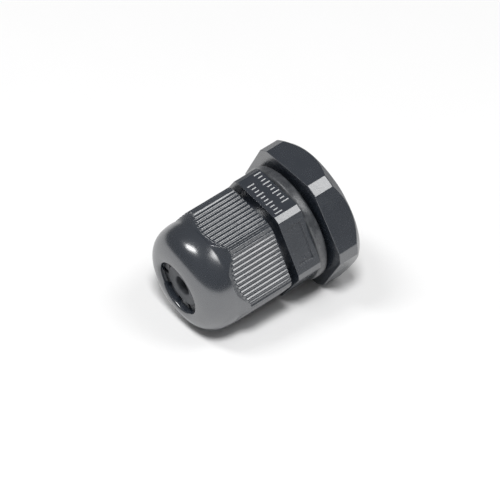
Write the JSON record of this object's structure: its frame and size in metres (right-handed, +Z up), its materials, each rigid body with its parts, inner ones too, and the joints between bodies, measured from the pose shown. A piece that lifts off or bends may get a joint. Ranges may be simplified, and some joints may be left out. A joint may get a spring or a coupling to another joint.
{
  "type": "cable gland",
  "caption": "Moulded plastic cable gland with a ribbed dome nut, clamping cage and seal, hexagonal body, flat gasket and lock nut.",
  "frame": {"origin": "centre of the gasket's sealing face, on the gland's axis, where the panel goes", "axes": "+Y along the gland's axis out of the entry thread, -Y out of the dome nut's aperture, +Z up with the lock nut lying on one of its flats"},
  "size_m": [0.025, 0.0303, 0.0228],
  "materials": {
    "body_nylon": "dark slate nylon, satin with a fine moulded grain",
    "gasket_rubber": "matt dark rubber with small specks",
    "locknut_nylon": "dark slate nylon, satin, grainy on the cut corners",
    "domenut_nylon": "dark slate nylon, glossy on the dome",
    "cage_nylon": "dark slate nylon, satin",
    "seal_rubber": "matt dark grey rubber"
  },
  "bodies": {
    "gland_body": {"gland_body": "body_nylon"},
    "insert": {"clamping_cage": "cage_nylon", "seal_bush": "seal_rubber"},
    "dome_nut": {"dome_nut": "domenut_nylon"},
    "gasket": {"flat_gasket": "gasket_rubber"},
    "lock_nut": {"lock_nut": "locknut_nylon"}
  },
  "joints": [
    {"name": "dome_nut_travel", "type": "slide", "parent": "gland_body", "child": "insert", "axis": [0, 1, 0], "range_m": [-0.0045, 0.00075]},
    {"name": "dome_nut_turn", "type": "hinge", "parent": "insert", "child": "dome_nut", "pos_m": [0, -0.0151, 0], "axis": [0, 1, 0], "range_deg": [-1081, 181]},
    {"name": "lock_nut_turn", "type": "hinge", "parent": "gland_body", "child": "gasket", "pos_m": [0, 0, 0], "axis": [0, 1, 0], "range_deg": [-145, 1657]},
    {"name": "lock_nut_travel", "type": "slide", "parent": "gasket", "child": "lock_nut", "axis": [0, 1, 0], "range_m": [-0.0006, 0.0069]}
  ],
  "couplings": [
    {"joint": "dome_nut_turn", "follows": "dome_nut_travel", "rad_per_m": 4188.8},
    {"joint": "lock_nut_turn", "follows": "lock_nut_travel", "rad_per_m": 4188.8}
  ]
}
